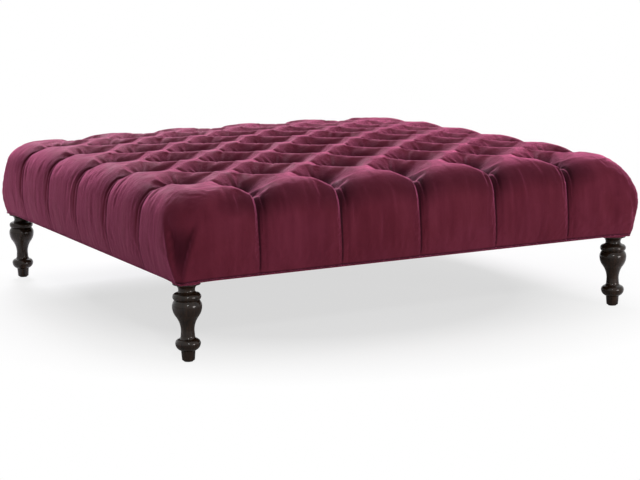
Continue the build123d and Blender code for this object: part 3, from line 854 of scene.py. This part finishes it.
def use(tree, group, values):
    return add(tree, "ShaderNodeGroup", values, node_tree=group).outputs


def bump_from(tree, shader, height, distance):
    inputs = {"Height": height, "Distance": distance}
    raised = add(tree, "ShaderNodeBump", inputs)
    tree.links.new(raised.outputs["Normal"], shader.inputs["Normal"])


BLOTCHES = make_blotches()
GRAIN = make_grain()
FIBRES = make_fibres()


# Velvet: pile brushed in patches and in upright streaks, with painted shade in the folds, pits,
# creases, under the shoulder and at the seam
def make_velvet():
    made, tree, shader = new_material(
        "velvet",
        Specular_IOR_Level=0.06,
        Sheen_Weight=1.0,
        Sheen_Roughness=0.36,
        Sheen_Tint=VELVET_SHEEN,
    )
    patches = use(tree, BLOTCHES, {"Dark": VELVET_BODY, "Light": VELVET_WORN, "Per Metre": 9.0})
    brushed = {"Dark": (0.84, 0.83, 0.84, 1), "Light": (1.08, 1.08, 1.1, 1), "Per Metre": 30.0}
    streaks = use(tree, BLOTCHES, {**brushed, "Stretch": (1, 1, 0.12)})
    pile = use(tree, FIBRES, {"Dark": (0.85, 0.85, 0.85, 1), "Light": (1.1, 1.1, 1.1, 1)})
    # The fold attribute is the painted shade share; where it is high the colour turns to the
    # painted shade colour
    fold = add(tree, "ShaderNodeAttribute", attribute_name="fold").outputs["Fac"]
    toned = mix_colour(tree, 1.0, patches["Colour"], streaks["Colour"], "MULTIPLY")
    toned = mix_colour(tree, 1.0, toned, pile["Colour"], "MULTIPLY")
    deep = in_range(tree, fold, 0.12, 0.58)
    tree.links.new(mix_colour(tree, deep, toned, VELVET_PAINTED_SHADE), shader.inputs["Base Color"])
    tree.links.new(in_range(tree, streaks["Share"], 0, 1, 0.9, 0.65), shader.inputs["Roughness"])
    crushed = add(tree, "ShaderNodeMath", {0: streaks["Share"], 1: 2.0}, operation="MULTIPLY")
    height = add(tree, "ShaderNodeMath", {0: crushed.outputs[0], 1: pile["Height"]})
    bump_from(tree, shader, height.outputs[0], 0.3 * MM)
    return made


# Bare timber with its grain along one axis
def make_timber(name, light, dark, stretch):
    made, tree, shader = new_material(name, Roughness=0.6)
    grain = use(tree, GRAIN, {"Dark": dark, "Light": light, "Stretch": stretch})
    tree.links.new(grain["Colour"], shader.inputs["Base Color"])
    bump_from(tree, shader, grain["Height"], 0.15 * MM)
    return made


# Espresso stain under a clear gloss lacquer
def make_lacquer():
    made, tree, shader = new_material(
        "leg_lacquer", Specular_IOR_Level=0.08, Coat_Weight=0.55, Coat_Roughness=0.05, Coat_IOR=1.45
    )
    stained = {"Dark": (0.007, 0.0038, 0.0022, 1), "Light": (0.027, 0.0135, 0.0072, 1)}
    grain = use(tree, GRAIN, {**stained, "Stretch": (140, 140, 9)})
    tree.links.new(grain["Colour"], shader.inputs["Base Color"])
    levelled = use(tree, BLOTCHES, {"Per Metre": 60.0})
    tree.links.new(in_range(tree, levelled["Share"], 0, 1, 0.3, 0.45), shader.inputs["Roughness"])
    bump_from(tree, shader, grain["Height"], 0.03 * MM)
    return made


# Dull cloth or twine, a little faded in patches
def make_cloth(name, dark, light, per_metre):
    made, tree, shader = new_material(name, Roughness=0.9, Specular_IOR_Level=0.2)
    threads = use(tree, FIBRES, {"Dark": dark, "Light": light, "Per Metre": per_metre})
    faded = use(tree, BLOTCHES, {"Dark": (0.85, 0.85, 0.85, 1), "Per Metre": 14.0})
    toned = mix_colour(tree, 1.0, threads["Colour"], faded["Colour"], "MULTIPLY")
    tree.links.new(toned, shader.inputs["Base Color"])
    bump_from(tree, shader, threads["Height"], 0.2 * MM)
    return made


# Plastic or plated metal, with blotches in its colour and between two roughnesses
def make_moulded(name, dark, light, low, high, metallic=0.0):
    made, tree, shader = new_material(name, Metallic=metallic)
    skin = use(tree, BLOTCHES, {"Dark": dark, "Light": light, "Per Metre": 240.0})
    tree.links.new(skin["Colour"], shader.inputs["Base Color"])
    tree.links.new(in_range(tree, skin["Share"], 0, 1, low, high), shader.inputs["Roughness"])
    bump_from(tree, shader, skin["Share"], 0.02 * MM)
    return made


velvet = make_velvet()
FINISHES = {"leg_lacquer": make_lacquer()}
TIMBERS = {
    "timber_across": (PALE_WOOD, WOOD_SHADE, (4, 60, 60)),
    "timber_deep": (PALE_WOOD, WOOD_SHADE, (60, 4, 60)),
    "timber_upright": (PALE_WOOD, WOOD_SHADE, (60, 60, 4)),
    "plywood": ((0.58, 0.40, 0.22, 1), (0.44, 0.27, 0.13, 1), (3, 26, 200)),
    "dowel_beech": ((0.62, 0.42, 0.22, 1), (0.5, 0.3, 0.14, 1), (90, 90, 90)),
}
CLOTHS = {
    "dust_cloth": ((0.006, 0.006, 0.007, 1), (0.03, 0.03, 0.032, 1), 700),
    "twine": ((0.42, 0.38, 0.30, 1), (0.75, 0.70, 0.58, 1), 1400),
}
MOULDED = {
    "zinc": ((0.40, 0.40, 0.41, 1), (0.62, 0.62, 0.62, 1), 0.22, 0.42, 1.0),
    "clip_plastic": ((0.66, 0.66, 0.62, 1), (0.78, 0.78, 0.75, 1), 0.38, 0.5),
    "glide_plastic": ((0.02, 0.019, 0.018, 1), (0.045, 0.042, 0.04, 1), 0.4, 0.6),
}
for make, finishes in ((make_timber, TIMBERS), (make_cloth, CLOTHS), (make_moulded, MOULDED)):
    for name, values in finishes.items():
        FINISHES[name] = make(name, *values)
NODE_FINISHES = {
    "leg_lacquer": [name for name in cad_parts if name.startswith(("leg_front", "leg_back"))],
    "timber_across": ["front_rail", "back_rail"],
    "timber_deep": ["left_rail", "right_rail", "left_brace", "right_brace"],
    "timber_upright": [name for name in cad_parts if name.startswith("corner_post_")],
    "plywood": ["deck_panel"],
    "dowel_beech": ["frame_dowels"],
    "dust_cloth": ["dust_cover"],
    "twine": ["tuft_twines"],
    "zinc": ["brace_screws", "deck_screws", "edge_staples", "leg_bolts", "leg_nuts"],
    "clip_plastic": ["twine_clips"],
    "glide_plastic": ["leg_glides"],
}
for finish, names in NODE_FINISHES.items():
    for name in names:
        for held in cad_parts[name].material_slots:
            held.material = FINISHES[finish]

# The velvet with all the soft layers under it, closed at its foot
vertices, faces, painted_shades, holds, foot_ring, columns = cover_mesh()
vertices += settle_moves(vertices, holds)
cover = mesh_object("tufted_cover", vertices, list(faces) + [foot_ring[::-1]], velvet)
# The fold attribute holds the painted shade shares of the velvet
painted_shade_layer = cover.data.attributes.new("fold", "FLOAT", "POINT")
painted_shade_layer.data.foreach_set("value", np.clip(painted_shades, 0, 1))
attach(cover, "root")
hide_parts("velvet_cover", *SOFT_PARTS)

band = mesh_object("edge_band_fold", *band_mesh(columns), velvet)
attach(band, "root")
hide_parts("edge_band")


# A tree that grows a piece, with named inputs
def growing_tree(name, inputs):
    group = bpy.data.node_groups.new(name, "GeometryNodeTree")
    group.interface.new_socket("Geometry", in_out="OUTPUT", socket_type="NodeSocketGeometry")
    for label, (kind, value) in inputs.items():
        socket = group.interface.new_socket(label, in_out="INPUT", socket_type="NodeSocket" + kind)
        if value is not None:
            socket.default_value = value
    return group, *group_ends(group)


# The plain mesh that a tree grows, as an object at the origin
def grown(name, group, values):
    made = bpy.data.objects.new(name, bpy.data.meshes.new(name + "_start"))
    bpy.context.scene.collection.objects.link(made)
    modifier = made.modifiers.new("grow", "NODES")
    modifier.node_group = group
    for item in group.interface.items_tree:
        if item.in_out == "INPUT" and item.name in values:
            modifier[item.identifier] = values[item.name]
    bpy.context.view_layer.update()
    shaped = made.evaluated_get(bpy.context.evaluated_depsgraph_get())
    mesh = bpy.data.meshes.new_from_object(shaped)
    made.modifiers.remove(modifier)
    mesh.name = name
    made.data = mesh
    return made


# Domed covered buttons on every other crossing of a square grid
def button_tree():
    inputs = {
        "Crossings": ("Int", 2 * ROWS + 1),
        "Side": ("Float", 1.0),
        "Radius": ("Float", 11 * MM),
        "Height": ("Float", 7 * MM),
        "Level": ("Float", 0.3),
        "Seed": ("Int", 3),
        "Cloth": ("Material", None),
    }
    group, given, out = growing_tree("covered_buttons", inputs)
    spread = {"Size X": given["Side"], "Size Y": given["Side"]}
    spread.update({"Vertices X": given["Crossings"], "Vertices Y": given["Crossings"]})
    lattice = add(group, "GeometryNodeMeshGrid", spread)
    index = add(group, "GeometryNodeInputIndex").outputs[0]
    odd = add(group, "ShaderNodeMath", {0: index, 1: 2.0}, operation="MODULO").outputs[0]
    sizes = {"Radius": given["Radius"], "Segments": 20, "Rings": 12}
    ball = add(group, "GeometryNodeMeshUVSphere", sizes).outputs["Mesh"]
    place = add(group, "GeometryNodeInputPosition").outputs[0]
    uneven = add(group, "ShaderNodeTexNoise", {"Vector": place, "Scale": BUTTON_GRAIN}).outputs[0]
    lifted = add(group, "ShaderNodeMath", {0: uneven, 1: BUTTON_UNEVEN}, operation="MULTIPLY")
    offset = add(group, "ShaderNodeCombineXYZ", {"Z": lifted.outputs[0]}).outputs[0]
    rough = add(group, "GeometryNodeSetPosition", {0: ball, "Offset": offset}).outputs[0]
    double = add(group, "ShaderNodeMath", {0: given["Radius"], 1: 2.0}, operation="MULTIPLY")
    shares = {0: given["Height"], 1: double.outputs[0]}
    flat = add(group, "ShaderNodeMath", shares, operation="DIVIDE").outputs[0]
    scale = add(group, "ShaderNodeCombineXYZ", {"X": 1.0, "Y": 1.0, "Z": flat}).outputs[0]
    button = add(group, "GeometryNodeTransform", {0: rough, "Scale": scale})
    seeded = {"Seed": given["Seed"]}
    turned = add(group, "FunctionNodeRandomValue", seeded, data_type="FLOAT_VECTOR")
    turned.inputs["Min"].default_value = (-BUTTON_TILT, -BUTTON_TILT, 0)
    turned.inputs["Max"].default_value = (BUTTON_TILT, BUTTON_TILT, BUTTON_TURN)
    sewn = {"Points": lattice.outputs["Mesh"], "Selection": odd, "Instance": button.outputs[0]}
    sewn["Rotation"] = turned.outputs[0]
    buttons = add(group, "GeometryNodeInstanceOnPoints", sewn)
    height = add(group, "ShaderNodeCombineXYZ", {"Z": given["Level"]}).outputs[0]
    raised = add(group, "GeometryNodeTransform", {0: buttons.outputs[0], "Translation": height})
    real = add(group, "GeometryNodeRealizeInstances", {0: raised.outputs[0]})
    smooth_faces = add(group, "GeometryNodeSetShadeSmooth", {0: real.outputs[0]}).outputs[0]
    covered = {0: smooth_faces, "Material": given["Cloth"]}
    finished = add(group, "GeometryNodeSetMaterial", covered)
    group.links.new(finished.outputs[0], out["Geometry"])
    return group


button_sizes = {
    "Side": 2 * ROW_HALF,
    "Radius": button_high.x - ROW_HALF,
    "Height": button_high.z - button_low.z,
    "Level": (button_high.z + button_low.z) / 2,
    "Cloth": velvet,
}
buttons = grown("covered_buttons", button_tree(), button_sizes)
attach(buttons, "root")
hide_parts("tuft_buttons")

tucks = mesh_object("leg_lip_folds", *tuck_mesh(), velvet)
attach(tucks, "root")
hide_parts("corner_tucks")

# A pale floor that fades to white away from the object
paint, tree, shader = new_material("floor_paint", Roughness=1.0, Specular_IOR_Level=0.0)
shader.inputs["Base Color"].default_value = FLOOR_COLOUR
path = add(tree, "ShaderNodeLightPath").outputs
place = add(tree, "ShaderNodeTexCoord").outputs["Object"]
distance = add(tree, "ShaderNodeVectorMath", {0: place}, operation="LENGTH").outputs["Value"]
shares = {0: in_range(tree, distance, *FLOOR_FADE), 1: path["Is Camera Ray"]}
share = add(tree, "ShaderNodeMath", shares, operation="MULTIPLY").outputs[0]
glow = add(tree, "ShaderNodeEmission").outputs[0]
mix = add(tree, "ShaderNodeMixShader", {0: share, 1: shader.outputs[0], 2: glow})
tree.links.new(mix.outputs[0], tree.nodes["Material Output"].inputs["Surface"])
corners = [(x * FLOOR_HALF, y * FLOOR_HALF, 0) for x, y in ((-1, -1), (1, -1), (1, 1), (-1, 1))]
mesh_object("floor", corners, [(0, 1, 2, 3)], paint)

# White where the camera or a highlight meets the backdrop, and a plain pale light otherwise
world = bpy.data.worlds.new("studio")
bpy.context.scene.world = world
world.use_nodes = True
tree = world.node_tree
background = tree.nodes["Background"]
background.inputs["Color"].default_value = WHITE
path = add(tree, "ShaderNodeLightPath").outputs
rays = {0: path["Is Camera Ray"], 1: path["Is Glossy Ray"]}
seen = add(tree, "ShaderNodeMath", rays, operation="MAXIMUM").outputs[0]
tree.links.new(in_range(tree, seen, 0.0, 1.0, WORLD_LEVEL, 1.0), background.inputs["Strength"])


def area_light(name, place, target, size, power, colour):
    data = bpy.data.lights.new(name, "AREA")
    data.size = size
    data.energy = power
    data.color = colour
    made = bpy.data.objects.new(name, data)
    made.location = place
    made.rotation_euler = (Vector(target) - Vector(place)).to_track_quat("-Z", "Y").to_euler()
    bpy.context.scene.collection.objects.link(made)


for name, values in LAMPS.items():
    area_light(name, *values)

camera_data = bpy.data.cameras.new("camera")
camera_data.lens = FOCAL_PIXELS * camera_data.sensor_width / IMAGE_WIDTH
camera = bpy.data.objects.new("camera", camera_data)
flat = math.cos(PITCH)
ahead = Vector((math.sin(YAW) * flat, math.cos(YAW) * flat, -math.sin(PITCH)))
right = Vector((math.cos(YAW), -math.sin(YAW), 0))
upward = right.cross(ahead)
turned = (
    math.cos(ROLL) * right + math.sin(ROLL) * upward,
    math.cos(ROLL) * upward - math.sin(ROLL) * right,
    -ahead,
)
placed = Matrix.Translation(CAMERA_PLACE)
camera.matrix_world = placed @ Matrix(turned).transposed().to_4x4()
bpy.context.scene.collection.objects.link(camera)
bpy.context.scene.camera = camera
bpy.context.scene.view_settings.view_transform = "Standard"
